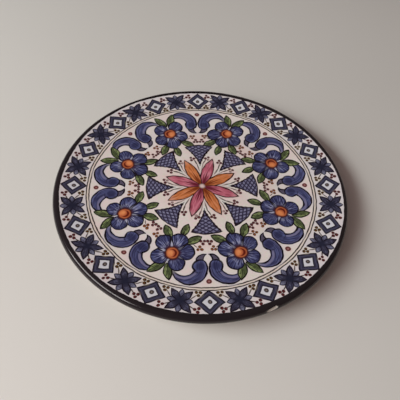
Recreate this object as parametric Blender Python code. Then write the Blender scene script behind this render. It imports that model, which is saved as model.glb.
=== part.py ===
"""Ceramic wall plate: a shallow round dish of glazed earthenware with a thick rounded lip.

It lies face up on its foot ring, with the origin under the middle of the foot and +Z up.
The lip has one old chip, and the foot ring has two holes for the hanging wire.
All sizes are in metres.
"""

import math

import bmesh
import bpy
from mathutils import Matrix, Vector

# Whole plate
PLATE_RADIUS = 0.120
PLATE_HEIGHT = 0.020
SPIN_STEPS = 96

# Dish: a level well that curves up to the lip
DISH_DEPTH = 0.005
WELL_RADIUS = 0.060
DISH_STEPS = 7

# Lip: the rounded edge all round
LIP_THICKNESS = 0.0072
LIP_QUARTER_STEPS = 4
BAND_WIDTH = 0.0047

# Underside and foot ring
BODY_THICKNESS = 0.0065
UNDERSIDE_RISE = math.radians(8)
FOOT_RADIUS = 0.070
FOOT_WIDTH = 0.0065
FOOT_SPREAD = 0.002
FOOT_ROUND = 0.0013
FOOT_ROUND_STEPS = 3
RECESS_CORNER = 0.003

# Two holes through the foot ring, near +Y, for a hanging wire
WIRE_HOLE_RADIUS = 0.0015
WIRE_HOLE_HEIGHT = 0.0040
WIRE_HOLE_SPREAD = math.radians(14)
WIRE_HOLE_SIDES = 16

# The chip out of the lip
CHIP_ANGLE = math.radians(290.8)
CHIP_LEAN = math.radians(28)
CHIP_HALF_LENGTH = 0.0057
CHIP_HALF_HEIGHT = 0.0031
CHIP_HALF_DEPTH = 0.0023
CHIP_STANDOFF = 0.0010
CHIP_TWIST = math.radians(12)
CHIP_RIPPLE = 0.05

GLAZE_COLOUR = (0.64, 0.56, 0.53, 1.0)
BAND_COLOUR = (0.012, 0.010, 0.009, 1.0)
GLAZE_ROUGHNESS = 0.18


def clear_scene():
    """Empty the scene that the script runs in."""
    for thing in list(bpy.data.objects):
        bpy.data.objects.remove(thing, do_unlink=True)


def glaze(name, colour):
    """A plain glossy glaze."""
    material = bpy.data.materials.new(name)
    material.use_nodes = True
    shader = material.node_tree.nodes["Principled BSDF"]
    shader.inputs["Base Color"].default_value = colour
    shader.inputs["Roughness"].default_value = GLAZE_ROUGHNESS
    shader.inputs["Metallic"].default_value = 0.0
    material.diffuse_color = colour
    return material


def arc(centre, radius, start, end, steps):
    """Points (r, z) on an arc from one angle to another, in steps equal turns."""
    angles = [start + (end - start) * step / steps for step in range(steps + 1)]
    return [(centre[0] + radius * math.cos(a), centre[1] + radius * math.sin(a)) for a in angles]


def lip_centre():
    """The middle of the lip's round section."""
    return PLATE_RADIUS - LIP_THICKNESS / 2, PLATE_HEIGHT - LIP_THICKNESS / 2


def lip_section():
    """The lip's round edge, from where the dish meets it to where the underside does."""
    centre = lip_centre()
    dish_slope = math.atan2(2 * DISH_DEPTH, centre[0] - WELL_RADIUS)
    start = math.pi / 2 + dish_slope
    end = -math.pi / 2 + UNDERSIDE_RISE
    radius = LIP_THICKNESS / 2
    crest = arc(centre, radius, start, math.pi / 2, 1)
    outer = arc(centre, radius, math.pi / 2, 0.0, LIP_QUARTER_STEPS)
    under = arc(centre, radius, 0.0, end, LIP_QUARTER_STEPS)
    return crest[:-1] + outer[:-1] + under


def dish_section(lip_start):
    """The upper face, from the axis out to the lip: level, then rising ever more steeply."""
    floor = PLATE_HEIGHT - DISH_DEPTH
    points = [(0.0, floor), (WELL_RADIUS * 0.5, floor)]
    for step in range(DISH_STEPS):
        share = step / DISH_STEPS
        radius = WELL_RADIUS + share * (lip_start[0] - WELL_RADIUS)
        points.append((radius, floor + (lip_start[1] - floor) * share ** 2))
    return points


def foot_section(lip_end):
    """The underside from the lip in to the axis, over the foot ring."""
    top_radius = FOOT_RADIUS + FOOT_SPREAD
    top = lip_end[1] - (lip_end[0] - top_radius) * math.tan(UNDERSIDE_RISE)
    inner = FOOT_RADIUS - FOOT_WIDTH
    ceiling = PLATE_HEIGHT - DISH_DEPTH - BODY_THICKNESS
    down, left, right = -math.pi / 2, -math.pi, 0.0
    points = [(top_radius, top)]
    points.append((FOOT_RADIUS, top - FOOT_SPREAD))
    points += arc((FOOT_RADIUS - FOOT_ROUND, FOOT_ROUND), FOOT_ROUND, right, down, FOOT_ROUND_STEPS)
    points += arc((inner + FOOT_ROUND, FOOT_ROUND), FOOT_ROUND, down, left, FOOT_ROUND_STEPS)
    points.append((inner, ceiling - RECESS_CORNER))
    points.append((inner - RECESS_CORNER, ceiling))
    points.append((WELL_RADIUS * 0.5, ceiling))
    points.append((0.0, ceiling))
    return points


def plate_profile():
    """The whole half section, from the axis on top, round the lip and back to the axis below."""
    lip = lip_section()
    return dish_section(lip[0]) + lip + foot_section(lip[-1])


def new_object(name, bm, material):
    """Put a finished bmesh into the scene as an object."""
    mesh = bpy.data.meshes.new(name)
    bm.to_mesh(mesh)
    bm.free()
    thing = bpy.data.objects.new(name, mesh)
    bpy.context.scene.collection.objects.link(thing)
    mesh.materials.append(material)
    return thing


def turned_plate():
    """The plate as it leaves the wheel: the profile spun round the axis."""
    bm = bmesh.new()
    verts = [bm.verts.new((radius, 0.0, height)) for radius, height in plate_profile()]
    edges = [bm.edges.new(pair) for pair in zip(verts, verts[1:])]
    bmesh.ops.spin(
        bm, geom=verts + edges, cent=(0, 0, 0), axis=(0, 0, 1), dvec=(0, 0, 0),
        angle=math.tau, steps=SPIN_STEPS, use_merge=True,
    )
    bmesh.ops.remove_doubles(bm, verts=bm.verts, dist=1e-6)
    bmesh.ops.recalc_face_normals(bm, faces=bm.faces)
    plate = new_object("plate", bm, glaze("cream glaze", GLAZE_COLOUR))
    plate.data.materials.append(glaze("black lip glaze", BAND_COLOUR))
    for face in plate.data.polygons:
        on_lip = Vector(face.center[:2]).length > PLATE_RADIUS - BAND_WIDTH
        face.material_index = 1 if on_lip else 0
    return plate


def cutter(name, bm, plate):
    """A hidden shape that is cut out of the plate."""
    tool = new_object(name, bm, plate.data.materials[0])
    tool.hide_render = True
    tool.display_type = "WIRE"
    cut = plate.modifiers.new(name, "BOOLEAN")
    cut.operation = "DIFFERENCE"
    cut.solver = "EXACT"
    cut.object = tool
    return tool


def cut_wire_holes(plate):
    """Two level holes through the foot ring, side by side at the plate's top."""
    middle = FOOT_RADIUS - FOOT_WIDTH / 2
    for side, name in ((-1, "wire_hole_left"), (1, "wire_hole_right")):
        bm = bmesh.new()
        bmesh.ops.create_cone(
            bm, cap_ends=True, segments=WIRE_HOLE_SIDES, radius1=WIRE_HOLE_RADIUS,
            radius2=WIRE_HOLE_RADIUS, depth=FOOT_WIDTH * 2,
        )
        turn = math.pi / 2 - side * WIRE_HOLE_SPREAD
        place = Matrix.Rotation(turn, 4, "Z") @ Matrix.Translation((middle, 0, WIRE_HOLE_HEIGHT))
        bmesh.ops.transform(bm, verts=bm.verts, matrix=place @ Matrix.Rotation(math.pi / 2, 4, "Y"))
        cutter(name, bm, plate)


def cut_chip(plate):
    """A shell-shaped flake lost from the lip's outer edge."""
    bm = bmesh.new()
    bmesh.ops.create_icosphere(bm, subdivisions=3, radius=1.0)
    for vert in bm.verts:
        ripple = math.sin(5.0 * vert.co.y + 1.3) * math.cos(4.0 * vert.co.z)
        vert.co *= 1.0 + CHIP_RIPPLE * ripple
    size = Matrix.Diagonal((CHIP_HALF_DEPTH, CHIP_HALF_LENGTH, CHIP_HALF_HEIGHT, 1.0))
    centre = lip_centre()
    reach = LIP_THICKNESS / 2 + CHIP_STANDOFF
    lean = Matrix.Rotation(-CHIP_LEAN, 4, "Y")
    out = Matrix.Translation((centre[0], 0.0, centre[1])) @ lean @ Matrix.Translation((reach, 0.0, 0.0))
    place = Matrix.Rotation(CHIP_ANGLE, 4, "Z") @ out @ Matrix.Rotation(CHIP_TWIST, 4, "X") @ size
    bmesh.ops.transform(bm, verts=bm.verts, matrix=place)
    cutter("chip", bm, plate)


def shade(thing):
    """Smooth shading, with the real edges kept crisp."""
    thing.data.shade_smooth()
    thing.data.set_sharp_from_angle(angle=math.radians(40))


clear_scene()
plate_body = turned_plate()
shade(plate_body)
cut_wire_holes(plate_body)
cut_chip(plate_body)
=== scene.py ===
"""Ceramic wall plate, painted by hand in cobalt, green, orange and pink, with a black lip.

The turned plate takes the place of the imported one: the same profile in finer steps, with
the chip and the two holes for the hanging wire cut out of it. The ornament is one procedural
glaze on its upper face. Sizes are in metres; the ornament is drawn in shares of the radius.
"""

import math

import bmesh
import bpy
from mathutils import Matrix, Vector


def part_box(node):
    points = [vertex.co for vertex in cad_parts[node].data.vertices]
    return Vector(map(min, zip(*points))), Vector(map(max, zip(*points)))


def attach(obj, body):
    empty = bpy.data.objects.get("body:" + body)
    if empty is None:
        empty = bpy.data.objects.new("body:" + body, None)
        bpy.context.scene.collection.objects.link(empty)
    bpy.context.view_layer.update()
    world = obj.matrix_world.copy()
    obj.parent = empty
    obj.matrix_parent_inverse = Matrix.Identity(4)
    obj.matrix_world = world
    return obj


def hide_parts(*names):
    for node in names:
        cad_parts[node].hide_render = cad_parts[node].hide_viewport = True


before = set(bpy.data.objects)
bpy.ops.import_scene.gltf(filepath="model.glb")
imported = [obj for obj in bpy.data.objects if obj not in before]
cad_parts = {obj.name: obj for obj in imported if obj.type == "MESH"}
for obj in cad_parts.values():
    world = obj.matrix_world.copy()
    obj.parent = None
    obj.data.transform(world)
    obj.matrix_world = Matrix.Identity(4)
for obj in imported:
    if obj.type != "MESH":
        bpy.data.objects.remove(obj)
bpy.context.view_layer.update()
LOW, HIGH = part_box("plate")

# Whole plate
ORIGIN = (0.0, 0.0)
PLATE_RADIUS = (HIGH.x - LOW.x) / 2
PLATE_HEIGHT = HIGH.z - LOW.z
SPIN_STEPS = 240
SHORT_STEPS = 3

# Lengths that count as none, and points that count as one
TINY = 1e-9
WELD = 1e-6

# Dish and lip
DISH_DEPTH = 0.005
WELL_RADIUS = 0.060
WELL_STEPS = 6
DISH_STEPS = 20
LIP_THICKNESS = 0.0072
LIP_QUARTER_STEPS = 12

# Underside and foot ring
BODY_THICKNESS = 0.0065
UNDERSIDE_RISE = math.radians(8)
UNDERSIDE_STEPS = 10
FOOT_RADIUS = 0.070
FOOT_WIDTH = 0.0065
FOOT_SPREAD = 0.002
FOOT_ROUND = 0.0013
FOOT_ROUND_STEPS = 6
RECESS_CORNER = 0.003
RECESS_CORNER_STEPS = 4

# Two holes through the foot ring for a hanging wire
WIRE_HOLE_RADIUS = 0.0015
WIRE_HOLE_HEIGHT = 0.0040
WIRE_HOLE_SPREAD = math.radians(14)
WIRE_HOLE_SIDES = 32

# The chip out of the lip
CHIP_ANGLE = math.radians(290.8)
CHIP_LEAN = math.radians(24)
CHIP_HALF_LENGTH = 0.0060
CHIP_HALF_HEIGHT = 0.0019
CHIP_HALF_DEPTH = 0.0023
CHIP_STANDOFF = 0.0010
CHIP_TWIST = math.radians(12)
CHIP_FACETS = 5
CHIP_SWELL = 0.05
CHIP_RIPPLE = 0.018
CHIP_RIPPLE_WAVES = 17.0
CHIP_RIPPLE_MIDDLE = (-0.6, 0.4)

# The ornament's own middle, a hair off the plate's as the hand set it
ORNAMENT_CENTRE = (0.0004, -0.0004)

# How each ring of the ornament sits: its middle, its turn and its stretch across and up
BORDER_SET = ((0.0013, -0.0018), math.radians(-0.42), (1.0, 1.0))
RING_SET = ((-0.0016, -0.0003), math.radians(0.24), (0.992, 1.007))
MIDDLE_SET = ((0.0, 0.0085), math.radians(1.16), (0.980, 1.018))

# The black band's inner edge, and how it wanders: waves round the plate, height, start
BAND_EDGE = 0.9568
BAND_SOFTNESS = 0.0012
BAND_WANDER = (
    (1, 0.0039, math.radians(126)),
    (2, 0.0035, math.radians(-41)),
    (3, 0.0041, math.radians(-30)),
)

# Which material a face wears
UPPER, UNDER, BARE = 0, 1, 2

# Where the two faces lie on the UV map: middle and radius of each disc
UPPER_MAP = (0.464, 0.460)
LOWER_MAP = (0.872, 0.122)

# The underside: how far in the lip's black reaches, and how far up the foot is bare
BAND_UNDER_EDGE = (0.1165, 0.1169)
BAND_UNDER_WANDER = 0.004
BARE_FOOT = (0.0013, 0.0016)
BARE_FOOT_WANDER = 0.0012

# Patterns, in waves to the metre
GLAZE_PULL = 45.0
GLAZE_PEEL = 240.0
GLOSS_CLOUD = 60.0
CLAY_CLOUD = 220.0
CLAY_GRITS = 1400.0
UNDER_WAVE = 90.0
UNDER_CLOUD = 24.0
PINHOLES = 700.0
CUT_WAVE = 500.0

# Glaze and clay: gloss and relief, and how deep the glaze lies on the clay
GLAZE_IOR = 1.5
GLAZE_LEVEL = 0.42
GLAZE_ROUGHNESS = (0.11, 0.17)
GLAZE_RELIEF = 0.00004
UNDER_RELIEF = 0.0001
CLAY_RELIEF = 0.0003
CLAY_ROUGHNESS = 0.85
CUT_GLAZE_DEPTH = (0.00030, 0.00042)
CUT_GLAZE_WANDER = 0.0002
CUT_GLAZE_ROUGHNESS = 0.3

# Camera, in turns from the ornament's own axes and in plate radii
VIEW_TURN = math.radians(6.672)
VIEW_RISE = math.radians(49.592)
VIEW_SWING = math.radians(0.088)
VIEW_NOD = math.radians(-2.115)
VIEW_ROLL = math.radians(-4.732)
VIEW_DISTANCE = 3.1787
SENSOR_WIDTH = 36.0
LENS = 41.74
CLIP = (0.01, 20.0)

# Studio
FLOOR_HALF_WIDTH = 3.0
FLOOR_ROUGHNESS = 0.6
FLOOR_MOTTLE = 3.0
DAYLIGHT = (0.91, 1.0, 0.995)
LAMPS = (  # name, place, size, power, colour, and whether it leaves a highlight
    ("window_lamp", (-1.40, -0.65, 1.25), (1.5, 0.5), 26.0, DAYLIGHT, True),
    ("sky_lamp", (-1.68, -0.45, 0.80), (1.4, 1.0), 15.5, DAYLIGHT, False),
    ("fill_lamp", (-0.25, -0.33, 0.42), (0.35, 0.35), 0.60, (1.0, 0.80, 0.77), False),
)
WORLD_COLOUR = (1.0, 0.77, 0.735, 1.0)
WORLD_STRENGTH = 0.165


def arc(centre, radius, start, end, steps):
    """Points (r, z) on an arc from one angle to another, in steps equal turns."""
    angles = [start + (end - start) * step / steps for step in range(steps + 1)]
    return [(centre[0] + radius * math.cos(a), centre[1] + radius * math.sin(a)) for a in angles]


def straight(start, end, steps):
    """Points (r, z) on a straight run, without its last one."""
    return [
        (start[0] + (end[0] - start[0]) * k / steps, start[1] + (end[1] - start[1]) * k / steps)
        for k in range(steps)
    ]


def lip_centre():
    """The middle of the lip's round section."""
    return PLATE_RADIUS - LIP_THICKNESS / 2, PLATE_HEIGHT - LIP_THICKNESS / 2


def upper_profile():
    """The face that carries the ornament, from the axis out to the lip's outermost line."""
    centre = lip_centre()
    dish_slope = math.atan2(2 * DISH_DEPTH, centre[0] - WELL_RADIUS)
    half = LIP_THICKNESS / 2
    lip = arc(centre, half, math.pi / 2 + dish_slope, math.pi / 2, SHORT_STEPS)
    outer = arc(centre, half, math.pi / 2, 0.0, LIP_QUARTER_STEPS)
    floor = PLATE_HEIGHT - DISH_DEPTH
    points = straight((0.0, floor), (WELL_RADIUS, floor), WELL_STEPS)
    for step in range(DISH_STEPS):
        share = step / DISH_STEPS
        radius = WELL_RADIUS + share * (lip[0][0] - WELL_RADIUS)
        points.append((radius, floor + (lip[0][1] - floor) * share ** 2))
    return points + lip[:-1] + outer


def lower_profile():
    """The underside, from the lip's outermost line in over the foot ring to the axis."""
    centre = lip_centre()
    lip = arc(centre, LIP_THICKNESS / 2, 0.0, -math.pi / 2 + UNDERSIDE_RISE, LIP_QUARTER_STEPS)
    top_radius = FOOT_RADIUS + FOOT_SPREAD
    top = lip[-1][1] - (lip[-1][0] - top_radius) * math.tan(UNDERSIDE_RISE)
    inner = FOOT_RADIUS - FOOT_WIDTH
    ceiling = PLATE_HEIGHT - DISH_DEPTH - BODY_THICKNESS
    down, left, right = -math.pi / 2, -math.pi, 0.0
    outer_foot = (FOOT_RADIUS - FOOT_ROUND, FOOT_ROUND)
    inner_foot = (inner + FOOT_ROUND, FOOT_ROUND)
    points = lip[:-1] + straight(lip[-1], (top_radius, top), UNDERSIDE_STEPS)
    spread = (top_radius, top - FOOT_SPREAD)
    points += arc(spread, FOOT_SPREAD, -down, -left, SHORT_STEPS)[:-1]
    points += straight((FOOT_RADIUS, spread[1]), (FOOT_RADIUS, FOOT_ROUND), SHORT_STEPS)
    points += arc(outer_foot, FOOT_ROUND, right, down, FOOT_ROUND_STEPS)
    points += arc(inner_foot, FOOT_ROUND, down, left, FOOT_ROUND_STEPS)[:-1]
    corner = (inner - RECESS_CORNER, ceiling - RECESS_CORNER)
    points += straight((inner, FOOT_ROUND), (inner, corner[1]), SHORT_STEPS)
    points += arc(corner, RECESS_CORNER, right, -down, RECESS_CORNER_STEPS)[:-1]
    points += straight((corner[0], ceiling), (0.0, ceiling), WELL_STEPS)
    return points + [(0.0, ceiling)]


class Value:
    """A number, colour or place that varies over the glaze. Arithmetic on it adds shader nodes."""

    def __init__(self, sketch, socket):
        self.sketch = sketch
        self.socket = socket

    def __add__(self, other):
        return self.sketch.maths("ADD", self, other)

    def __sub__(self, other):
        return self.sketch.maths("SUBTRACT", self, other)

    def __rsub__(self, other):
        return self.sketch.maths("SUBTRACT", other, self)

    def __mul__(self, other):
        return self.sketch.maths("MULTIPLY", self, other)

    def __truediv__(self, other):
        return self.sketch.maths("DIVIDE", self, other)

    def __rtruediv__(self, other):
        return self.sketch.maths("DIVIDE", other, self)

    def __abs__(self):
        return self.sketch.maths("ABSOLUTE", self)


class Sketch:
    """Adds shader nodes to one material or group, in columns in the order they are made."""

    COLUMN = 24
    SPACING = (190, 170)

    def __init__(self, tree):
        self.tree = tree

    def add(self, kind):
        """A new node of that kind, in the next free place."""
        column, row = divmod(len(self.tree.nodes), self.COLUMN)
        new = self.tree.nodes.new("ShaderNode" + kind)
        new.location = (column * self.SPACING[0], -row * self.SPACING[1])
        return new

    def node(self, kind, inputs, output=0, **settings):
        """A new node with its inputs fed, as the value that it gives."""
        new = self.add(kind)
        for name, setting in settings.items():
            setattr(new, name, setting)
        for key, value in inputs.items():
            if isinstance(value, Value):
                self.tree.links.new(value.socket, new.inputs[key])
            else:
                new.inputs[key].default_value = value
        return Value(self, new.outputs[output])

    def maths(self, operation, *values):
        return self.node("Math", dict(enumerate(values)), operation=operation)

    def least(self, first, *others):
        for other in others:
            first = self.maths("MINIMUM", first, other)
        return first

    def most(self, first, *others):
        for other in others:
            first = self.maths("MAXIMUM", first, other)
        return first

    def joined(self, first, second, softness):
        """The union of two shapes, with the corner between them softened."""
        return self.node("Math", {0: first, 1: second, 2: softness}, operation="SMOOTH_MIN")

    def ramp(self, value, low, high, start=0.0, end=1.0):
        """A smooth run from start to end as the value goes from low to high."""
        feeds = {"Value": value, "From Min": low, "From Max": high, "To Min": start, "To Max": end}
        return self.node("MapRange", feeds, interpolation_type="SMOOTHSTEP")

    def mix(self, share, first, second):
        """From the first colour to the second, by share."""
        return self.node("Mix", {0: share, 6: first, 7: second}, 2, data_type="RGBA")

    def noise(self, place, scale, detail=0.0, output=0):
        """Soft irregular variation from 0 to 1; output 1 gives three of them as a colour."""
        feeds = {"Vector": place, "Scale": scale, "Detail": detail}
        return self.node("TexNoise", feeds, output, noise_dimensions="2D")

    def chance(self, number, seed):
        """A random number from 0 to 1 for each whole number."""
        return self.node("TexWhiteNoise", {"W": number + seed}, noise_dimensions="1D")

    def lot(self, number, seed, low, high):
        """A random number from low to high for each whole number."""
        return self.ramp(self.chance(number, seed), 0.0, 1.0, low, high)

    def place_from(self, across, up):
        return self.node("CombineXYZ", {0: across, 1: up})

    def parts(self, place, count=2):
        """The x and y of a place, and its z where three are asked for."""
        new = self.node("SeparateXYZ", {0: place}).socket.node
        return [Value(self, output) for output in new.outputs[:count]]

    def vector(self, operation, first, second=None, third=None, output=0):
        feeds = {k: v for k, v in enumerate((first, second, third)) if v is not None}
        return self.node("VectorMath", feeds, output, operation=operation)

    def shifted(self, place, variation, amount):
        """The place, moved about by a colour of noise: amount is the whole span of the shift."""
        moved = self.vector("MULTIPLY_ADD", variation, (amount, amount, 0.0), place)
        return self.vector("SUBTRACT", moved, (amount / 2, amount / 2, 0.0))

    def seen_from(self, place, centre, angle=0.0, stretch=(1.0, 1.0)):
        """The place as measured from a centre, with x along that angle."""
        feeds = {0: place, 1: (*centre[:2], 0.0), 2: (0.0, 0.0, angle), 3: (*stretch, 1.0)}
        return self.node("Mapping", feeds, vector_type="TEXTURE")

    def turned(self, place, angle):
        """The place, turned about the middle."""
        feeds = {"Vector": place, "Angle": angle}
        return self.node("VectorRotate", feeds, rotation_type="Z_AXIS")

    def quartered(self, place):
        """The four arms of a cross laid over one another, with x along them."""
        out, side = self.parts(self.vector("ABSOLUTE", place))
        return self.place_from(self.most(out, side), self.least(out, side))

    def reach(self, place, centre=ORIGIN):
        """How far the place is from a centre."""
        return self.vector("DISTANCE", place, (centre[0], centre[1], 0.0), output=1)

    # Shapes. Each gives how far a place lies outside it, and less than zero within.

    def disc(self, place, centre, radius):
        return self.reach(place, centre) - radius

    def crescent(self, place, whole, bite):
        """A disc with another taken out of it, each given by its centre and its radius."""
        return self.most(self.disc(place, *whole), bite[1] - self.reach(place, bite[0]))

    def lens(self, place, start, end, width):
        """A pointed petal or brush stroke from start to end."""
        run = Vector(end) - Vector(start)
        half_length, half_width = run.length / 2, width / 2
        drop = (half_length ** 2 - half_width ** 2) / (2 * half_width)
        middle = (Vector(start) + Vector(end)) / 2
        from_middle = self.seen_from(place, middle, math.atan2(run.y, run.x))
        folded = self.vector("ABSOLUTE", from_middle)
        return self.reach(folded, (0.0, -drop)) - (drop + half_width)

    def beyond(self, place, point, angle):
        """The half of the plate that lies behind a line through point, facing that angle."""
        facing = (math.cos(angle), math.sin(angle), 0.0)
        along = self.vector("DOT_PRODUCT", place, facing, output=1)
        return along - (point[0] * facing[0] + point[1] * facing[1])


def pigment(red, green, blue):
    """A colour given by its everyday 0-255 numbers, as a shader takes it."""

    def linear(value):
        value /= 255
        return value / 12.92 if value <= 0.04045 else ((value + 0.055) / 1.055) ** 2.4

    return (linear(red), linear(green), linear(blue), 1.0)


# The pigments, as they look on the fired plate
CREAM = pigment(229, 217, 211)
CREAM_PINK = pigment(229, 210, 206)
CREAM_GREEN = pigment(220, 214, 197)
CREAM_BLUE = pigment(216, 208, 212)
MOTTLE_PINK = pigment(232, 206, 206)
INK = pigment(20, 16, 30)
COBALT = pigment(63, 64, 100)
COBALT_DEEP = pigment(36, 38, 72)
COBALT_LIGHT = pigment(92, 100, 148)
LAVENDER = pigment(126, 121, 152)
PALE_STROKE = pigment(176, 174, 196)
PETAL_GLOW = pigment(136, 140, 182)
HORN = pigment(86, 79, 97)
NAVY = pigment(51, 50, 69)
NAVY_LIGHT = pigment(88, 88, 114)
STAR_MIDDLE = pigment(31, 34, 54)
STAR_GREY = pigment(80, 80, 104)
STAR_PALE = pigment(130, 130, 152)
STAR_TIP = pigment(46, 28, 36)
LEAF = pigment(101, 112, 75)
LEAF_LIGHT = pigment(138, 150, 98)
LEAF_DARK = pigment(48, 58, 34)
LEAF_INK = pigment(24, 27, 16)
ORANGE = pigment(212, 122, 76)
ORANGE_LIGHT = pigment(222, 138, 90)
AMBER = pigment(236, 156, 92)
RUST = pigment(92, 18, 10)
RED_RUST = pigment(158, 54, 30)
EYE_RIM = pigment(64, 27, 30)
MAROON = pigment(104, 28, 44)
UMBER = pigment(122, 50, 20)
PINK = pigment(189, 99, 117)
PINK_LIGHT = pigment(212, 136, 150)
PETAL_ORANGE = pigment(205, 120, 69)
PETAL_ORANGE_LIGHT = pigment(212, 138, 98)
PETAL_INK = pigment(44, 18, 18)
BERRY = (pigment(60, 20, 24), pigment(112, 44, 46))
DARK_OLIVE_BERRY = (pigment(50, 34, 21), pigment(120, 78, 42))
OLIVE_BERRY = (pigment(84, 44, 26), pigment(168, 100, 54))
PLUM_BERRY = (pigment(66, 28, 36), pigment(122, 66, 66))
STEM = pigment(74, 62, 54)
LINE_BROWN = pigment(54, 42, 40)
LINE_TINT = pigment(222, 206, 190)
DOT_RED = pigment(96, 40, 40)
DOT_PALE = pigment(172, 122, 120)
BLUSH = pigment(228, 200, 194)
STRAW = pigment(226, 210, 180)
COOL_WHITE = pigment(216, 216, 210)
BLACK_GLAZE = pigment(32, 27, 30)
HATCH = pigment(104, 101, 132)
HATCH_PALE = pigment(148, 146, 172)
HATCH_LINE = pigment(43, 38, 59)
LATTICE_INK = pigment(34, 22, 32)
GLAZE_GLINT = (1.0, 0.86, 0.85, 1.0)
SQUARE_PALE = pigment(212, 209, 215)
SQUARE_DOT = pigment(60, 48, 48)
SQUARE_DOT_PALE = pigment(136, 124, 116)
UNDER_CREAM = pigment(226, 214, 198)
CLAY = pigment(206, 198, 188)
CLAY_PALE = pigment(226, 219, 211)
CLAY_GRIT = pigment(120, 92, 66)
FLOOR_COLOUR = pigment(214, 208, 202)
FLOOR_COLOUR_PALE = pigment(218, 212, 206)


class Painting(Sketch):
    """The ornament, laid on in the painter's order, each coat over the last.

    A coat in a table is its reach beyond the shape, its colour and, if not plain, its
    edge's softness and its strength.
    """

    EDGE = 0.0014
    SWAYS = ((4.5, 0.0, 0.008), (26.0, 1.0, 0.006))  # scale, detail and amount of each sway
    OUTLINE = 0.009
    BERRY_SIZE = 0.0107
    BERRY_SPREAD = 0.0137
    BERRY_LOAD = 0.0025
    HEART_INSET = 0.0085
    HEART_ASIDE = 0.002
    HEART_EDGE = 0.003

    def __init__(self, tree, place):
        super().__init__(tree)
        self.flat = self.drawn = place
        for scale, detail, amount in self.SWAYS:
            sway = self.noise(place, scale, detail, 1)
            self.drawn = self.shifted(self.drawn, sway, amount)
        self.wash = self.noise(place, 34.0, 2.0)
        self.pressure = self.ramp(self.noise(place, 22.0), 0.3, 0.7, 0.75, 1.25)
        self.colour = None

    def settle(self, centre, turn, stretch):
        """Draw from here on in a frame shifted, turned and stretched that little."""
        self.place = self.seen_from(self.drawn, centre, turn, stretch)
        x, y = self.parts(self.place)
        self.heading = self.maths("ARCTAN2", y, x)
        self.radius = self.reach(self.place)

    def bay(self, count, first):
        """The place in its own bay of count, x out along the bay's middle, and its number."""
        turn = math.tau / count
        number = self.maths("ROUND", (self.heading - first) * (1 / turn))
        place = self.turned(self.place, number * -turn - first)
        return place, self.maths("FLOORED_MODULO", number, float(count))

    def within(self, shape, soft=EDGE):
        """1 inside a shape and 0 outside it, with a brush's soft edge."""
        return self.ramp(shape, -soft, soft, 1.0, 0.0)

    def coat(self, colour, share):
        """One coat of colour, where share is 1."""
        self.colour = self.mix(share, self.colour, colour)

    def fill(self, shape, colour, soft=EDGE, strength=1.0):
        share = self.within(shape, soft)
        self.coat(colour, share if strength == 1.0 else share * strength)

    def nest(self, shape, coats):
        """The same shape again and again, each time as large as its coat says."""
        for reach, *coat in coats:
            self.fill(shape - reach, *coat)

    def line(self, shape, colour, width, soft=EDGE, strength=1.0):
        """A line of that width along a shape's edge."""
        self.fill(abs(shape) - width / 2, colour, soft, strength)

    def outlined(self, shape, colour, ink=INK, width=OUTLINE):
        """A filled shape with a hand-drawn outline just inside its edge."""
        self.fill(shape, ink)
        inner = shape + self.pressure * width
        self.fill(inner, colour)
        return inner

    def streak(self, colour, pattern, span, inside, strength):
        """Brush marks inside a shape, stronger as the pattern goes through its span."""
        self.coat(colour, self.ramp(pattern, *span) * inside * strength)

    def berries(self, place, centre, turn, colours):
        """Three round dabs in a cluster, each with a brighter heart to one side."""
        dabs, hearts = [], []
        for k in range(3):
            angle = turn + k * math.tau / 3
            x = centre[0] + self.BERRY_SPREAD * math.cos(angle)
            y = centre[1] + self.BERRY_SPREAD * math.sin(angle)
            dabs.append(self.reach(place, (x, y)))
            hearts.append(self.reach(place, (x + self.HEART_ASIDE, y - self.HEART_ASIDE)))
        load = self.pressure * self.BERRY_LOAD
        dark, heart = colours
        self.fill(self.least(*dabs) - load - (self.BERRY_SIZE - self.BERRY_LOAD), dark)
        small = self.BERRY_SIZE - self.HEART_INSET
        self.fill(self.least(*hearts) - load - small, heart, self.HEART_EDGE, 0.65)


# Variation of the ground, in waves to the plate's radius
GROUND_TINT = 5.0
GROUND_CLOUD = 9.0
GROUND_MOTTLE = 55.0


def paint_ground(art):
    """Cream tin glaze, here and there a little pinker or greener."""
    tint = art.noise(art.flat, GROUND_TINT, 2.0)
    art.colour = art.mix(art.ramp(tint, 0.4, 0.62), CREAM, CREAM_PINK)
    cloud = art.noise(art.flat, GROUND_CLOUD, 1.0)
    art.coat(CREAM_GREEN, art.ramp(cloud, 0.6, 0.8, 0.0, 0.5))
    mottle = art.noise(art.flat, GROUND_MOTTLE, 1.0)
    art.coat(CREAM_GREEN, art.ramp(mottle, 0.54, 0.70, 0.0, 0.6))
    art.coat(MOTTLE_PINK, art.ramp(mottle, 0.46, 0.30, 0.0, 0.6))


# The double line, and the cooler ground outside it
LINE_RADIUS = 0.782
LINE_HALF_GAP = 0.0088
LINE_WIDTH = 0.0080
LINE_TINT_REACH = 0.009
BORDER_START = (0.78, 0.80)


def paint_double_line(art):
    """Two thin brown rings with a faint tint between, and the border's cooler ground."""
    art.coat(CREAM_BLUE, art.ramp(art.radius, *BORDER_START, 0.0, 0.8))
    ring = art.radius - LINE_RADIUS
    art.fill(abs(ring) - LINE_TINT_REACH, LINE_TINT, 0.003, 0.5)
    art.line(abs(ring) - LINE_HALF_GAP, LINE_BROWN, LINE_WIDTH)


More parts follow.
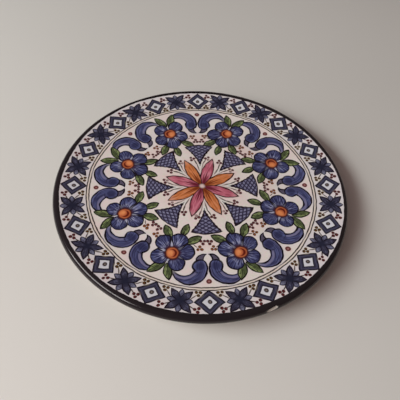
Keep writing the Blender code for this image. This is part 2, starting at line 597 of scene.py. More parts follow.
# The border's squares, on their corners
BORDER_BAYS = 16
SQUARE_MIDDLE = (0.8745, -0.0015)
SQUARE_SQUASH = 1.05
SQUARE_WOBBLE = 0.002
SQUARE_FRAME = ((0.0903, INK), (0.0800, NAVY))
SQUARE_LINE = 0.0675
SQUARE_LINE_WIDTH = 0.006
SQUARE_WINDOW = ((0.0492, INK), (0.0425, SQUARE_PALE))
SQUARE_DOT_MIDDLE = (0.8715, 0.001)
SQUARE_DOT_COATS = ((0.0142, SQUARE_DOT, 0.003), (0.0045, SQUARE_DOT_PALE, 0.003))


def paint_border_squares(art):
    """Squares set on their corners, each with a dot in its pale middle."""
    place, _ = art.bay(BORDER_BAYS, 0.0)
    out, side = art.parts(place)
    corner = abs(out - SQUARE_MIDDLE[0]) * SQUARE_SQUASH + abs(side - SQUARE_MIDDLE[1])
    wobble = art.noise(art.flat, 11.0)
    square = corner + art.ramp(wobble, 0.3, 0.7, -SQUARE_WOBBLE, SQUARE_WOBBLE)
    art.nest(square, SQUARE_FRAME)
    art.line(square - SQUARE_LINE, NAVY_LIGHT, SQUARE_LINE_WIDTH, 0.003, 0.6)
    art.nest(square, SQUARE_WINDOW)
    art.nest(art.reach(place, SQUARE_DOT_MIDDLE), SQUARE_DOT_COATS)


# The border's sprigs: their berries' place, turn and colours, the glow behind, the stem
BORDER_SPRIGS = (
    ((0.9200, 0.1070), 0.4, BERRY, BLUSH, ((0.897, 0.042), (0.919, 0.098), 0.0075)),
    ((0.8120, 0.0980), 0.1, DARK_OLIVE_BERRY, STRAW, ((0.866, 0.052), (0.820, 0.092), 0.0075)),
)
SPRIG_GLOW = 0.024


def paint_border_sprigs(art, folded):
    """Four sprigs of berries round each star."""
    for centre, turn, colours, glow, stem in BORDER_SPRIGS:
        art.fill(art.disc(folded, centre, SPRIG_GLOW), glow, 0.014, 0.5)
        art.fill(art.lens(folded, *stem), STEM)
        art.berries(folded, centre, turn, colours)


# The border's stars. A petal or stroke is its start, its end and its width
STAR_RADIUS = 0.878
STAR_FAN_RADIUS = 0.876
SMALL_PETAL = ((0.004, 0.0), (0.080, 0.0), 0.042)
SMALL_PETAL_OUTLINE = 0.0050
SMALL_PETAL_PALE = ((0.036, 0.0), (0.074, 0.0), 0.015)
SMALL_PETAL_VEIN = ((0.02, 0.0), (0.060, 0.0), 0.0040)
LARGE_PETAL = ((-0.012, 0.0), (0.102, 0.0), 0.045)
LARGE_PETAL_OUTLINE = 0.0065
LARGE_PETAL_BELLY = ((0.054, 0.0), 0.0232)
BELLY_SOFTNESS = 0.012
STAR_TIPS = (0.060, 0.090)
STAR_HEART = 0.026


def paint_border_stars(art):
    """Stars of four broad dark petals over four small grey ones, with sprigs round them."""
    place, number = art.bay(BORDER_BAYS, math.pi / BORDER_BAYS)
    paint_border_sprigs(art, art.vector("ABSOLUTE", place))
    out, side = art.parts(place)
    fan = art.place_from(art.radius, side * STAR_FAN_RADIUS / out)
    centre = art.seen_from(fan, (STAR_RADIUS, 0.0))
    drag = art.noise(art.flat, 90.0, 1.0)

    small = art.quartered(centre)
    petal = art.lens(small, *SMALL_PETAL)
    inside = art.within(art.outlined(petal, STAR_GREY, INK, SMALL_PETAL_OUTLINE))
    art.fill(art.lens(small, *SMALL_PETAL_PALE), STAR_PALE, 0.003, 0.75)
    art.streak(NAVY, drag, (0.50, 0.62), inside, 0.6)
    art.fill(art.lens(small, *SMALL_PETAL_VEIN), NAVY, 0.0012, 0.85)

    large = art.quartered(art.seen_from(centre, ORIGIN, math.pi / 4))
    belly = art.disc(large, *LARGE_PETAL_BELLY)
    petal = art.joined(art.lens(large, *LARGE_PETAL), belly, BELLY_SOFTNESS)
    inner = art.outlined(petal, NAVY, INK, LARGE_PETAL_OUTLINE)
    inside = art.within(inner)
    x, y = art.parts(large)
    strokes = art.noise(art.place_from(x * 0.7 + number, y * 4.0 + number), 38.0, 1.0)
    sheen = art.ramp(strokes, 0.50, 0.60) * art.ramp(drag, 0.34, 0.54)
    art.coat(NAVY_LIGHT, sheen * art.within(inner + 0.003) * 0.75)
    art.streak(STAR_MIDDLE, strokes, (0.46, 0.36), inside, 0.7)
    reach = art.reach(centre)
    art.coat(STAR_TIP, art.ramp(reach, *STAR_TIPS, 0.0, 0.45) * inside)
    art.fill(reach - STAR_HEART, STAR_MIDDLE, 0.014, 0.95)


# The ring's dots, one at the middle of each bay
RING_BAYS = 8
RING_DOT_MIDDLE = (0.7285, 0.0)
RING_DOT_COATS = (
    (0.025, BLUSH, 0.012, 0.5),
    (0.0172, DOT_RED, 0.002),
    (0.0065, DOT_PALE, 0.004, 0.8),
)


def paint_ring_dots(art, place):
    """A dark red dot with a lighter middle, outside each pair of scrolls."""
    art.nest(art.reach(place, RING_DOT_MIDDLE), RING_DOT_COATS)


# A scroll. A disc is its middle and radius, an end a point and the way it faces, and a band
# its distance from the bend's middle, half its width, its colour and its strength
HORN_BACK = ((0.584, 0.0240), 0.0525)
HORN_HOLLOW = ((0.577, -0.023), 0.0475)
HORN_END = ((0.605, 0.0), 0.0)
BALL = ((0.6185, 0.0505), 0.0475)
BALL_HEART = ((0.621, 0.048), 0.027)
BALL_LIGHT = (0.0135, 0.001)
BALL_INK = 0.0025
BALL_CURL = ((0.650, 0.065), 0.020)
BEND_MIDDLE = (0.618, 0.1465)
BEND_RADIUS = 0.0650
BEND_BANDS = ((0.0840, 0.0070, LAVENDER, 0.8), (0.0975, 0.002, COBALT_DEEP, 0.6))
SWEEP_BACK = ((0.636, 0.118), 0.1175)
SWEEP_SHOULDER = ((0.632, 0.100), 0.1275)
SWEEP_START = ((0.6185, 0.0), math.pi)
SWEEP_END = ((0.645, 0.215), math.radians(135))
BACK_LIGHT = (0.0145, 0.0012)
BACK_LIGHT_END = ((0.70, 0.17), math.radians(70))
SCROLL_OUTLINE = 0.0100
SCROLL_GLOW = 0.010


def paint_scrolls(art, place):
    """A pair of cobalt scrolls: a horn, the ball it springs from and a broad tapering curve."""
    horn = art.most(art.crescent(place, HORN_BACK, HORN_HOLLOW), art.beyond(place, *HORN_END))
    bend = art.reach(place, BEND_MIDDLE)
    back = art.disc(place, *SWEEP_BACK)
    sweep = art.most(
        back,
        art.disc(place, *SWEEP_SHOULDER),
        BEND_RADIUS - bend,
        art.beyond(place, *SWEEP_START),
        art.beyond(place, *SWEEP_END),
    )
    ball = art.disc(place, *BALL)
    shape = art.least(sweep, ball)
    art.fill(art.least(shape, horn) - SCROLL_GLOW, CREAM_BLUE, 0.012, 0.6)
    art.outlined(horn, HORN)
    inside = art.within(art.outlined(shape, COBALT, INK, SCROLL_OUTLINE), 0.003)
    streaks = art.noise(art.place_from(bend * 9.0, art.heading * 0.8), 16.0, 1.0)
    art.streak(COBALT_DEEP, streaks, (0.52, 0.72), inside, 0.6)
    art.streak(COBALT_LIGHT, streaks, (0.50, 0.36), inside, 0.65)
    heart = art.within(art.disc(place, *BALL_HEART), 0.010)
    art.coat(COBALT_DEEP, heart * inside * 0.7)
    rim = art.within(abs(ball + BALL_LIGHT[0]) - BALL_LIGHT[1], 0.004)
    art.coat(COBALT_LIGHT, rim * inside * 0.35)
    past_ball = art.ramp(ball, -0.006, 0.014)
    for distance, half_width, colour, strength in BEND_BANDS:
        band = art.within(abs(bend - distance) - half_width, 0.004)
        art.coat(colour, band * past_ball * inside * strength)
    fading = art.ramp(art.beyond(place, *BACK_LIGHT_END), 0.0, 0.03, 1.0, 0.2)
    band = art.within(abs(back + BACK_LIGHT[0]) - BACK_LIGHT[1], 0.0035)
    art.coat(LAVENDER, band * inside * fading * 0.5)
    curl = art.within(art.disc(place, *BALL_CURL), 0.012)
    art.coat(INK, art.within(abs(ball) - BALL_INK, 0.003) * curl * 0.9)


# The flower's leaves: the angle and distance of the base, those of the tip, and the width
LEAVES = (
    (-5, 0.072, 16.5, 0.198, 0.060),
    (-12, 0.066, -27.5, 0.206, 0.064),
    (150, 0.108, 144.5, 0.229, 0.060),
    (-155, 0.106, -145.5, 0.224, 0.060),
    (174, 0.132, 176.5, 0.245, 0.056),
)
LEAF_OUTLINE = 0.0085
LEAF_SHADED_SHARE = 0.35
MIDRIB_SHARE = 0.85
MIDRIB_WIDTH = 0.0058
FLOWER_GLOW = 0.135


def paint_leaf(art, place, start, end, width):
    """A green leaf from base to tip with a dark midrib."""
    run = end - start
    length = run.length
    along = art.seen_from(place, start, math.atan2(run.y, run.x))
    leaf = art.lens(along, ORIGIN, (length, 0.0), width)
    inside = art.within(art.outlined(leaf, LEAF, LEAF_INK, LEAF_OUTLINE))
    x, y = art.parts(along)
    veins = art.noise(art.place_from(x * 0.6, abs(y) * 2.0 - x * 0.5), 60.0, 1.0)
    lit_half = art.ramp(y, 0.003, -0.010, 0.0, 0.9)
    art.coat(LEAF_LIGHT, lit_half * art.ramp(veins, 0.62, 0.42) * inside)
    art.streak(LEAF_DARK, veins, (0.44, 0.62), inside, 0.85)
    art.coat(LEAF_DARK, art.ramp(y, 0.0, 0.012, 0.0, 0.5) * inside)
    art.coat(LEAF_DARK, art.ramp(x, 0.0, length * LEAF_SHADED_SHARE, 0.7, 0.0) * inside)
    midrib = art.lens(along, ORIGIN, (length * MIDRIB_SHARE, 0.0), MIDRIB_WIDTH)
    art.fill(midrib, LEAF_INK, 0.0016, 0.9)


def paint_leaves(art, place):
    """Five leaves round one cobalt flower."""
    art.fill(art.reach(place) - FLOWER_GLOW, CREAM_BLUE, 0.025, 0.5)
    for base_turn, base, tip_turn, tip, width in LEAVES:
        start = Matrix.Rotation(math.radians(base_turn), 2) @ Vector((base, 0.0))
        end = Matrix.Rotation(math.radians(tip_turn), 2) @ Vector((tip, 0.0))
        paint_leaf(art, place, start, end, width)


# The flower's petals
PETALS = 5
FIRST_PETAL = math.radians(31.5)
NOTCH_LEAN = math.radians(4)
NOTCH_CROWDING = math.radians(13)
NOTCH_STRETCH = 0.075
PETAL_STATURE = (0.96, 1.04)
PETAL = ((0.0838, 0.0), 0.0578)
PETAL_OUTLINE = 0.0085
PETAL_SHEEN = ((0.048, 0.0), (0.120, 0.0), 0.034)
PETAL_SHEEN_ASIDE = 0.020
FEATHERS = (0.068, 0.012)
EYE_SHADOW = (0.050, 0.062)
WEDGE_SPAN = (0.052, 0.092)


def paint_petals(art, place, reach, number):
    """Round petals side by side, a little wider apart at the leaves' notch."""
    x, y = art.parts(place)
    turn = art.maths("ARCTAN2", y, x)
    lean = turn + NOTCH_LEAN
    crowded = turn - art.maths("SINE", lean) * NOTCH_CROWDING
    share = (crowded - FIRST_PETAL) * (PETALS / math.tau)
    petal = art.maths("ROUND", share)
    sector = (math.tau / PETALS) / (1.0 - art.maths("COSINE", lean) * NOTCH_CROWDING)
    across = (share - petal) * sector
    first = number * float(PETALS)
    own = first + petal
    stature = art.maths("COSINE", turn) * NOTCH_STRETCH
    reach = reach * (stature + art.lot(own, 2.2, *PETAL_STATURE))
    x = reach * art.maths("COSINE", across)
    y = reach * art.maths("SINE", across)
    gap = (abs(share - petal) - 0.5) * sector * reach
    disc = art.disc(art.place_from(x, y), *PETAL)
    art.fill(disc, INK)
    inner = art.most(disc, gap) + art.pressure * PETAL_OUTLINE
    art.fill(inner, COBALT)
    inside = art.within(inner, 0.002)
    streaks = art.noise(art.place_from(across * 1.5 + own, reach * 2.0), 9.0, 2.0)
    art.coat(COBALT_DEEP, art.ramp(inner, -0.020, 0.0, 0.0, 0.65) * inside)
    art.streak(COBALT_DEEP, streaks, (0.48, 0.60), inside, 0.8)
    art.streak(COBALT_LIGHT, streaks, (0.48, 0.36), inside, 0.6)
    aside = art.lot(own, 5.1, -PETAL_SHEEN_ASIDE, PETAL_SHEEN_ASIDE)
    bright = art.lot(own, 9.4, 0.3, 1.0)
    broken = art.ramp(streaks, 0.54, 0.44)
    glow = art.within(art.lens(art.place_from(x, y + aside), *PETAL_SHEEN), 0.010)
    art.coat(PETAL_GLOW, glow * inside * bright * broken * 0.75)
    feathers = art.within(abs(reach - FEATHERS[0]) - FEATHERS[1], 0.008)
    art.coat(PALE_STROKE, feathers * inside * art.ramp(streaks, 0.46, 0.38) * bright * 0.8)
    art.coat(EYE_RIM, art.ramp(reach, *EYE_SHADOW, 0.45, 0.0) * inside)
    wedge = abs(gap) - art.ramp(reach, *WEDGE_SPAN, 0.0065, -0.001)
    lot = art.chance(first + art.maths("FLOOR", share), 7.7)
    art.coat(PALE_STROKE, art.within(wedge, 0.002) * art.ramp(lot, 0.2, 0.6, 0.25, 0.95))


# The flower's eye
EYE_COATS = ((0.0495, EYE_RIM, 0.007), (0.0365, ORANGE, 0.007))
EYE_LIGHT = 0.026
EYE_TURN = (-2.3, -0.9)
EYE_AMBER = ((-0.011, 0.003), 0.014)
BLOT = (ORIGIN, 0.034)
BLOT_BITE = ((-0.022, 0.0), 0.0260)
CRESCENT = ((0.003, 0.0), 0.0280)
CRESCENT_BITE = ((-0.011, 0.0), 0.0255)


def paint_flower(art, place, number):
    """A cobalt flower round an orange eye with a rust crescent."""
    reach = art.reach(place)
    paint_petals(art, place, reach, number)
    art.nest(reach, EYE_COATS)
    light = art.ramp(art.wash, 0.42, 0.58) * art.within(reach - EYE_LIGHT, 0.006)
    art.coat(ORANGE_LIGHT, light * 0.8)
    turned = art.turned(place, art.lot(number, 3.7, *EYE_TURN))
    art.fill(art.disc(turned, *EYE_AMBER), AMBER, 0.008, 0.35)
    art.fill(art.crescent(turned, BLOT, BLOT_BITE), RED_RUST, 0.008, 0.5)
    art.fill(art.crescent(turned, CRESCENT, CRESCENT_BITE), RUST, 0.004, 0.95)


# A triangle of crossed lines: a disc with one more taken out of each side
LATTICE_BASE = ((0.136, 0.0), 0.261)
LATTICE_SIDE = ((0.0356, 0.4821), 0.5052)
LATTICE_OUTLINE = 0.0115
SCALLOP_TURNS = 260.0
SCALLOP_HEIGHT = 0.0014
RIB_START = (0.2450, 0.0)
RIB_TURN = math.radians(32)
RIB_SPACING = 0.0241
RIBS_BEFORE = 20.0
LATTICE_TIP = (0.205, 0.245)


def paint_lattice(art, place, folded):
    """A triangle of crossed cobalt lines, its point to the plate's middle and its sides hollow."""
    out, _ = art.parts(folded)
    scallop = art.maths("SINE", out * SCALLOP_TURNS) * SCALLOP_HEIGHT
    shape = art.crescent(folded, LATTICE_BASE, LATTICE_SIDE) + scallop
    inside = art.within(art.outlined(shape, HATCH, LATTICE_INK, LATTICE_OUTLINE), 0.003)
    rows = []
    for side in (1, -1):
        across = art.beyond(place, RIB_START, side * RIB_TURN) * (1 / RIB_SPACING)
        rows.append(abs(art.maths("FRACT", across + RIBS_BEFORE) - 0.5))
    ribs = art.most(*rows)
    patch = art.ramp(art.noise(art.flat, 30.0), 0.35, 0.65, 0.35, 1.0)
    art.coat(HATCH_PALE, art.ramp(ribs, 0.05, 0.34, 0.9, 0.0) * inside * patch)
    art.coat(HATCH_LINE, art.ramp(ribs, 0.28, 0.42) * inside)
    art.coat(HATCH_LINE, art.ramp(out, *LATTICE_TIP, 0.85, 0.0) * inside)


# The sprigs beside a triangle's point
LATTICE_GLOW = ((0.110, 0.0), (0.235, 0.0), 0.038)
LATTICE_STEMS = (
    ((0.128, 0.004), (0.212, 0.023), 0.010),
    ((0.192, 0.015), (0.256, 0.047), 0.010),
)
LATTICE_BERRIES = (0.2560, 0.0560)
LATTICE_BERRIES_TURN = 0.69


def paint_lattice_sprigs(art, folded):
    """Stems and berries on both sides of each triangle's point."""
    art.fill(art.lens(folded, *LATTICE_GLOW), COOL_WHITE, 0.012, 0.7)
    for stem in LATTICE_STEMS:
        art.fill(art.lens(folded, *stem), STEM)
    art.fill(art.disc(folded, LATTICE_BERRIES, 0.02), BLUSH, 0.012, 0.5)
    art.berries(folded, LATTICE_BERRIES, LATTICE_BERRIES_TURN, PLUM_BERRY)


# The sprigs between a triangle and the scrolls' horns
OUTER_GLOW = ((0.470, 0.032), 0.036)
OUTER_STEM = ((0.490, 0.058), (0.464, 0.086), 0.007)
OUTER_SPRIGS = (
    ((0.4475, 0.0225), 0.0, PLUM_BERRY),
    ((0.4950, 0.0450), math.pi, OLIVE_BERRY),
)


def paint_outer_sprigs(art, folded):
    """Two clusters on each side between a triangle and the scrolls' horns."""
    art.fill(art.disc(folded, *OUTER_GLOW), BLUSH, 0.02, 0.7)
    art.fill(art.lens(folded, *OUTER_STEM), STEM)
    for sprig in OUTER_SPRIGS:
        art.berries(folded, *sprig)


# The middle flower, and the dark streaks along each petal with their strengths
MIDDLE_PETALS = 8
FIRST_MIDDLE_PETAL = math.radians(24.9)
MIDDLE_PETAL = (ORIGIN, (0.272, 0.0), 0.087)
MIDDLE_PETAL_GLOW = 0.012
MIDDLE_PETAL_OUTLINE = 0.0072
MIDDLE_PETAL_GAP = 0.0028
MIDDLE_PETAL_TIP = (0.205, 0.245)
MIDDLE_STREAKS = (
    (ORIGIN, (0.150, -0.002), 0.011, 1.0),
    ((0.01, 0.0), (0.120, 0.017), 0.008, 0.9),
    ((0.01, 0.0), (0.115, -0.018), 0.008, 0.9),
)
MIDDLE_SHADE = (0.030, 0.080)
MIDDLE_DOT = 0.0172


def paint_middle_flower(art):
    """Pointed petals, orange and pink in turn, with dark streaks from the middle."""
    place, number = art.bay(MIDDLE_PETALS, FIRST_MIDDLE_PETAL)
    pink = art.maths("FLOORED_MODULO", number, 2.0)
    body = art.mix(pink, PETAL_ORANGE, PINK)
    pale = art.mix(pink, PETAL_ORANGE_LIGHT, PINK_LIGHT)
    dark = art.mix(pink, UMBER, MAROON)
    x, y = art.parts(place)
    half_turn = math.pi / MIDDLE_PETALS
    meeting = abs(y) * math.cos(half_turn) - x * math.sin(half_turn)
    petal = art.lens(place, *MIDDLE_PETAL)
    art.fill(petal - MIDDLE_PETAL_GLOW, BLUSH, 0.016, 0.7)
    art.fill(petal, PETAL_INK)
    inner = art.most(petal + art.pressure * MIDDLE_PETAL_OUTLINE, meeting + MIDDLE_PETAL_GAP)
    art.fill(inner, body)
    inside = art.within(inner)
    art.coat(dark, art.ramp(inner, -0.012, 0.0, 0.0, 0.4) * inside)
    streaks = art.noise(art.place_from(x * 1.5 + number * 3.0, y * 9.0), 9.0, 1.0)
    art.streak(pale, streaks, (0.50, 0.68), inside, 0.7)
    art.streak(dark, streaks, (0.46, 0.32), inside, 0.42)
    art.coat(BLUSH, art.ramp(x, *MIDDLE_PETAL_TIP, 0.0, 0.2) * inside)
    for *streak, strength in MIDDLE_STREAKS:
        art.fill(art.lens(place, *streak), dark, 0.003, strength)
    art.coat(dark, art.ramp(art.radius, *MIDDLE_SHADE, 0.9, 0.0) * inside)
    art.fill(art.radius - MIDDLE_DOT, BLUSH, 0.009, 0.9)


# How a cobalt flower sits in its bay
FLOWER_MIDDLE = (0.567, -0.001)
FLOWER_TILT = 0.03


def painted_colour(tree, place):
    """The whole ornament as one colour."""
    art = Painting(tree, place)
    paint_ground(art)

    art.settle(*RING_SET)
    bay, _ = art.bay(RING_BAYS, 0.0)
    folded = art.vector("ABSOLUTE", bay)
    paint_double_line(art)
    paint_ring_dots(art, bay)
    paint_scrolls(art, folded)
    paint_outer_sprigs(art, folded)
    bay, number = art.bay(RING_BAYS, math.pi / RING_BAYS)
    tilt = art.lot(number, 1.3, -FLOWER_TILT, FLOWER_TILT)
    flower = art.turned(art.seen_from(bay, FLOWER_MIDDLE), tilt)
    paint_leaves(art, flower)
    paint_flower(art, flower, number)

    art.settle(*MIDDLE_SET)
    bay, _ = art.bay(RING_BAYS, 0.0)
    folded = art.vector("ABSOLUTE", bay)
    paint_lattice_sprigs(art, folded)
    paint_lattice(art, bay, folded)
    paint_middle_flower(art)

    art.settle(*BORDER_SET)
    paint_border_squares(art)
    paint_border_stars(art)
    edge = art.radius
    for waves, height, start in BAND_WANDER:
        edge = edge - art.maths("COSINE", art.heading * float(waves) - start) * height
    art.fill(BAND_EDGE - edge, BLACK_GLAZE, BAND_SOFTNESS)
    return art.colour


def new_group(name, outputs):
    """An empty node group that takes a place and gives these outputs."""
    tree = bpy.data.node_groups.new(name, "ShaderNodeTree")
    tree.interface.new_socket("Place", in_out="INPUT", socket_type="NodeSocketVector")
    for output, kind in outputs.items():
        tree.interface.new_socket(output, in_out="OUTPUT", socket_type="NodeSocket" + kind)
    sketch = Sketch(tree)
    start = tree.nodes.new("NodeGroupInput")
    start.location = (-300, 0)
    end = tree.nodes.new("NodeGroupOutput")
    end.location = (1800, 0)
    return sketch, Value(sketch, start.outputs["Place"]), end


def give(sketch, end, **values):
    """Link values to a group's outputs or a shader's inputs by name."""
    for name, value in values.items():
        sketch.tree.links.new(value.socket, end.inputs[name.replace("_", " ")])


def noise_3d(sketch, place, scale, detail=0.0):
    feeds = {"Vector": place, "Scale": scale, "Detail": detail}
    return sketch.node("TexNoise", feeds, noise_dimensions="3D")


def glaze_skin_group():
    """The faint orange-peel surface of a poured glaze, and how its gloss varies."""
    sketch, place, end = new_group("glaze_skin", {"Height": "Float", "Roughness": "Float"})
    pull = noise_3d(sketch, place, GLAZE_PULL)
    peel = noise_3d(sketch, place, GLAZE_PEEL, 1.0)
    height = pull * 0.9 + peel * 0.1
    gloss = noise_3d(sketch, place, GLOSS_CLOUD, 2.0)
    roughness = sketch.ramp(gloss, 0.3, 0.75, *GLAZE_ROUGHNESS)
    give(sketch, end, Height=height, Roughness=roughness)
    return sketch.tree


def fired_clay_group():
    """Bare buff clay: fine grain, a few darker grits and a matt, slightly rough surface."""
    outputs = {"Color": "Color", "Height": "Float"}
    sketch, place, end = new_group("fired_clay", outputs)
    cloud = noise_3d(sketch, place, CLAY_CLOUD, 3.0)
    grit = noise_3d(sketch, place, CLAY_GRITS, 1.0)
    colour = sketch.mix(sketch.ramp(cloud, 0.3, 0.7), CLAY, CLAY_PALE)
    colour = sketch.mix(sketch.ramp(grit, 0.66, 0.8, 0.0, 0.6), colour, CLAY_GRIT)
    give(sketch, end, Color=colour, Height=cloud * 0.6 + grit * 0.4)
    return sketch.tree


def grouped(sketch, tree, place):
    """What a group makes of a place: its outputs by name."""
    node = sketch.add("Group")
    node.node_tree = tree
    sketch.tree.links.new(place.socket, node.inputs["Place"])
    return {output.name: Value(sketch, output) for output in node.outputs}


def bump(sketch, height, distance):
    """A surface normal raised by height."""
    return sketch.node("Bump", {"Strength": 1.0, "Distance": distance, "Height": height})


def new_material(name, finish, *groups, **settings):
    """A Principled material, fed with what its finish makes of the object coordinates."""
    material = bpy.data.materials.new(name)
    material.use_nodes = True
    material.node_tree.nodes.clear()
    sketch = Sketch(material.node_tree)
    coordinates = sketch.add("TexCoord")
    feeds = finish(sketch, Value(sketch, coordinates.outputs["Object"]), *groups)
    shader, output = sketch.add("BsdfPrincipled"), sketch.add("OutputMaterial")
    for key, value in settings.items():
        shader.inputs[key.replace("_", " ")].default_value = value
    give(sketch, shader, **feeds)
    sketch.tree.links.new(shader.outputs[0], output.inputs["Surface"])
    return material


def painted_glaze(sketch, place, skin):
    """The upper face: the ornament under a clear glossy glaze."""
    x, y = sketch.parts(place)
    centre_x, centre_y = ORNAMENT_CENTRE
    flat = sketch.place_from((x - centre_x) / PLATE_RADIUS, (y - centre_y) / PLATE_RADIUS)
    colour = painted_colour(sketch.tree, flat)
    surface = grouped(sketch, skin, place)
    normal = bump(sketch, surface["Height"], GLAZE_RELIEF)
    return {"Base_Color": colour, "Roughness": surface["Roughness"], "Normal": normal}


def plain_glaze(sketch, place, skin, clay):
    """The underside: plain cream glaze, bare on the foot, with the lip's black lapping over."""
    x, y, z = sketch.parts(place, 3)
    radius = sketch.reach(sketch.place_from(x, y))
    wave = noise_3d(sketch, place, UNDER_WAVE, 1.0)
    cloud = noise_3d(sketch, place, UNDER_CLOUD, 2.0)
    colour = sketch.mix(sketch.ramp(cloud, 0.35, 0.7), CREAM, UNDER_CREAM)
    pinholes = sketch.ramp(noise_3d(sketch, place, PINHOLES), 0.76, 0.82, 0.0, 0.5)
    colour = sketch.mix(pinholes, colour, CLAY_GRIT)
    band = sketch.ramp(radius + wave * BAND_UNDER_WANDER, *BAND_UNDER_EDGE)
    colour = sketch.mix(band, colour, BLACK_GLAZE)
    body, surface = grouped(sketch, clay, place), grouped(sketch, skin, place)
    bare = sketch.ramp(z + wave * BARE_FOOT_WANDER, *BARE_FOOT, 1.0, 0.0)
    colour = sketch.mix(bare, colour, body["Color"])
    roughness = sketch.maths("MULTIPLY_ADD", bare, 0.6, surface["Roughness"])
    normal = bump(sketch, surface["Height"] + body["Height"] * bare, UNDER_RELIEF)
    return {"Base_Color": colour, "Roughness": roughness, "Normal": normal}


def bare_body(sketch, place, clay):
    """Where the glaze is gone or never was: clay, with the glaze's dark edge round a chip."""
    x, y, z = sketch.parts(place, 3)
    radius = sketch.reach(sketch.place_from(x, y))
    section = sketch.place_from(radius, z)
    depth = LIP_THICKNESS / 2 - sketch.reach(section, lip_centre())
    wave = noise_3d(sketch, place, CUT_WAVE, 1.0)
    body = grouped(sketch, clay, place)
    cut_glaze = sketch.ramp(depth + wave * CUT_GLAZE_WANDER, *CUT_GLAZE_DEPTH, 1.0, 0.0)
    colour = sketch.mix(cut_glaze, body["Color"], BLACK_GLAZE)
    roughness = sketch.ramp(cut_glaze, 0.0, 1.0, CLAY_ROUGHNESS, CUT_GLAZE_ROUGHNESS)
    normal = bump(sketch, body["Height"], CLAY_RELIEF)
    return {"Base_Color": colour, "Roughness": roughness, "Normal": normal}


def table_top(sketch, place):
    """A plain pale surface, a little uneven in tone."""
    mottle = sketch.ramp(noise_3d(sketch, place, FLOOR_MOTTLE), 0.3, 0.7)
    return {"Base_Color": sketch.mix(mottle, FLOOR_COLOUR, FLOOR_COLOUR_PALE)}


def new_object(name, bm, materials):
    """Put a finished bmesh into the scene as an object."""
    mesh = bpy.data.meshes.new(name)
    bm.to_mesh(mesh)
    bm.free()
    thing = bpy.data.objects.new(name, mesh)
    bpy.context.scene.collection.objects.link(thing)
    for material in materials:
        mesh.materials.append(material)
    return thing


def spin(bm, profile):
    """Turn a profile (r, z) right round the axis."""
    verts = [bm.verts.new((radius, 0.0, height)) for radius, height in profile]
    edges = [bm.edges.new(pair) for pair in zip(verts, verts[1:])]
    bmesh.ops.spin(
        bm, geom=verts + edges, cent=(0, 0, 0), axis=(0, 0, 1), dvec=(0, 0, 0),
        angle=math.tau, steps=SPIN_STEPS, use_merge=True,
    )


def turned_plate(materials):
    """The plate as it leaves the wheel, in one closed skin."""
    bm = bmesh.new()
    spin(bm, upper_profile() + lower_profile()[1:])
    bmesh.ops.remove_doubles(bm, verts=bm.verts, dist=WELD)
    bmesh.ops.recalc_face_normals(bm, faces=bm.faces)
    ridge, equator = lip_centre()
    for face in bm.faces:
        face.smooth = True
        middle = face.calc_center_median()
        inside = middle.xy.length <= ridge
        upper = face.normal.z > 0 and (middle.z > equator or inside)
        face.material_index = UPPER if upper else UNDER
    return new_object("wall_plate", bm, materials)


def cut(plate, bm, name):
    """Cut a shape out of the plate and leave its own material on the cut."""
    for face in bm.faces:
        face.material_index = BARE
        face.smooth = True
    tool = new_object(name, bm, plate.data.materials)
    modifier = plate.modifiers.new(name, "BOOLEAN")
    modifier.operation = "DIFFERENCE"
    modifier.solver = "EXACT"
    modifier.object = tool
    shape = plate.evaluated_get(bpy.context.evaluated_depsgraph_get())
    mesh = bpy.data.meshes.new_from_object(shape)
    plate.modifiers.clear()
    plate.data = mesh
    bpy.data.objects.remove(tool, do_unlink=True)


def cut_wire_holes(plate):
    """Two level holes through the foot ring, side by side at the plate's top."""
    middle = FOOT_RADIUS - FOOT_WIDTH / 2
    for side in (-1, 1):
        bm = bmesh.new()
        bmesh.ops.create_cone(
            bm, cap_ends=True, segments=WIRE_HOLE_SIDES, radius1=WIRE_HOLE_RADIUS,
            radius2=WIRE_HOLE_RADIUS, depth=FOOT_WIDTH * 2,
        )
        turn = Matrix.Rotation(math.pi / 2 - side * WIRE_HOLE_SPREAD, 4, "Z")
        place = turn @ Matrix.Translation((middle, 0, WIRE_HOLE_HEIGHT))
        level = Matrix.Rotation(math.pi / 2, 4, "Y")
        bmesh.ops.transform(bm, verts=bm.verts, matrix=place @ level)
        cut(plate, bm, "wire_hole")


def cut_chip(plate):
    """A shell-shaped flake lost from the lip's outer edge, with the ripples of a break."""
    bm = bmesh.new()
    bmesh.ops.create_icosphere(bm, subdivisions=CHIP_FACETS, radius=1.0)
    for vert in bm.verts:
        _, y, z = vert.co
        broad = math.sin(5.0 * y + 1.3) * math.cos(4.0 * z)
        ring = math.sin(CHIP_RIPPLE_WAVES * math.dist((y, z), CHIP_RIPPLE_MIDDLE))
        vert.co *= 1.0 + CHIP_SWELL * broad + CHIP_RIPPLE * ring
    size = Matrix.Diagonal((CHIP_HALF_DEPTH, CHIP_HALF_LENGTH, CHIP_HALF_HEIGHT, 1.0))
    radius, height = lip_centre()
    lip = Matrix.Translation((radius, 0.0, height)) @ Matrix.Rotation(-CHIP_LEAN, 4, "Y")
    reach = Matrix.Translation((LIP_THICKNESS / 2 + CHIP_STANDOFF, 0.0, 0.0))
    flake = reach @ Matrix.Rotation(CHIP_TWIST, 4, "X") @ size
    place = Matrix.Rotation(CHIP_ANGLE, 4, "Z") @ lip @ flake
    bmesh.ops.transform(bm, verts=bm.verts, matrix=place)
    cut(plate, bm, "chip")


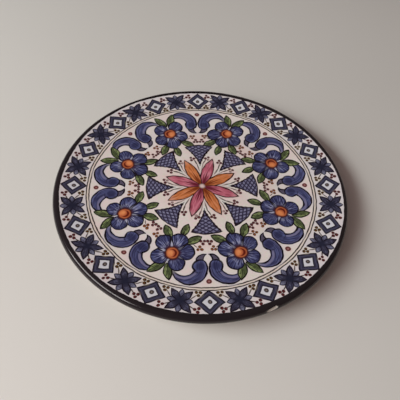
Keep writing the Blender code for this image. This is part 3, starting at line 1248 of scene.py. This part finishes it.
class Tape:
    """Measures how far along a profile the nearest point to (r, z) lies."""

    def __init__(self, profile):
        self.points = profile
        self.marks = [0.0]
        for start, end in zip(profile, profile[1:]):
            self.marks.append(self.marks[-1] + math.dist(start, end))
        self.known = {}

    def read(self, spot):
        key = (round(spot[0], 6), round(spot[1], 6))
        if key not in self.known:
            self.known[key] = self.nearest(key)
        return self.known[key]

    def nearest(self, spot):
        best = (math.inf, 0.0)
        for start, end, mark in zip(self.points, self.points[1:], self.marks):
            run, rise = end[0] - start[0], end[1] - start[1]
            length = math.hypot(run, rise)
            if length < TINY:
                continue
            along = ((spot[0] - start[0]) * run + (spot[1] - start[1]) * rise) / length
            along = min(max(along, 0.0), length)
            share = along / length
            gap = math.dist(spot, (start[0] + run * share, start[1] + rise * share))
            best = min(best, (gap, mark + along))
        return best[1]


def lay_out_map(plate):
    """One UV map: the upper face as a large disc, the underside as a small one beside it."""
    mesh = plate.data
    while mesh.uv_layers:
        mesh.uv_layers.remove(mesh.uv_layers[0])
    layer = mesh.uv_layers.new(name="OFBake")
    upper, lower = Tape(upper_profile()), Tape(lower_profile()[::-1])
    equator = lip_centre()[1]
    for face in mesh.polygons:
        on_upper = face.material_index == UPPER
        if face.material_index == BARE:
            on_upper = face.center.z > equator
        tape = upper if on_upper else lower
        middle, radius = UPPER_MAP if on_upper else LOWER_MAP
        for loop in face.loop_indices:
            spot = mesh.vertices[mesh.loops[loop].vertex_index].co
            flat = spot.xy.length
            reach = tape.read((flat, spot.z)) / tape.marks[-1] * radius
            direction = spot.xy / flat if flat > TINY else Vector(ORIGIN)
            layer.uv[loop].vector = Vector((middle, middle)) + direction * reach


def new_floor():
    """A plain pale table top that fills the view."""
    bm = bmesh.new()
    bmesh.ops.create_grid(bm, x_segments=1, y_segments=1, size=FLOOR_HALF_WIDTH)
    material = new_material("plain_floor", table_top, Roughness=FLOOR_ROUGHNESS)
    floor = new_object("floor", bm, [material])


def new_lamp(name, place, size, power, colour, glints):
    """A soft square lamp that faces the plate; without glints it leaves no highlight."""
    lamp = bpy.data.lights.new(name, "AREA")
    lamp.shape = "RECTANGLE"
    lamp.size, lamp.size_y = size
    lamp.energy = power
    lamp.color = colour
    thing = bpy.data.objects.new(name, lamp)
    thing.location = Matrix.Rotation(-VIEW_TURN, 3, "Z") @ Vector(place)
    thing.visible_glossy = glints
    thing.rotation_euler = (-thing.location).to_track_quat("-Z", "Y").to_euler()
    bpy.context.scene.collection.objects.link(thing)


def light_studio():
    """A window-like lamp and a softer one low on the left, a small fill and a dim surround."""
    scene = bpy.context.scene
    scene.world = bpy.data.worlds.new("studio")
    scene.world.use_nodes = True
    background = scene.world.node_tree.nodes["Background"]
    background.inputs["Color"].default_value = WORLD_COLOUR
    background.inputs["Strength"].default_value = WORLD_STRENGTH
    scene.view_settings.view_transform = "Standard"
    for lamp in LAMPS:
        new_lamp(*lamp)


def new_camera():
    """The camera, at the angle and distance from which the plate is seen."""
    camera = bpy.data.cameras.new("camera")
    camera.sensor_width = SENSOR_WIDTH
    camera.lens = LENS
    camera.clip_start, camera.clip_end = CLIP
    thing = bpy.data.objects.new("camera", camera)
    turn = Matrix.Rotation(-VIEW_TURN, 4, "Z") @ Matrix.Rotation(math.pi / 2 - VIEW_RISE, 4, "X")
    away = Matrix.Translation((0, 0, VIEW_DISTANCE * PLATE_RADIUS))
    aim = Matrix.Rotation(VIEW_SWING, 4, "Y") @ Matrix.Rotation(VIEW_NOD, 4, "X")
    roll = Matrix.Rotation(-VIEW_ROLL, 4, "Z")
    thing.matrix_world = Matrix.Translation((0, 0, PLATE_HEIGHT)) @ turn @ away @ aim @ roll
    bpy.context.scene.collection.objects.link(thing)
    bpy.context.scene.camera = thing


skin, clay = glaze_skin_group(), fired_clay_group()
plate = turned_plate([
    new_material(
        "painted_glaze", painted_glaze, skin,
        IOR=GLAZE_IOR, Specular_IOR_Level=GLAZE_LEVEL, Specular_Tint=GLAZE_GLINT,
    ),
    new_material("plain_glaze", plain_glaze, skin, clay, IOR=GLAZE_IOR),
    new_material("bare_body", bare_body, clay),
])
cut_wire_holes(plate)
cut_chip(plate)
lay_out_map(plate)
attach(plate, "root")
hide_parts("plate")
new_floor()
light_studio()
new_camera()
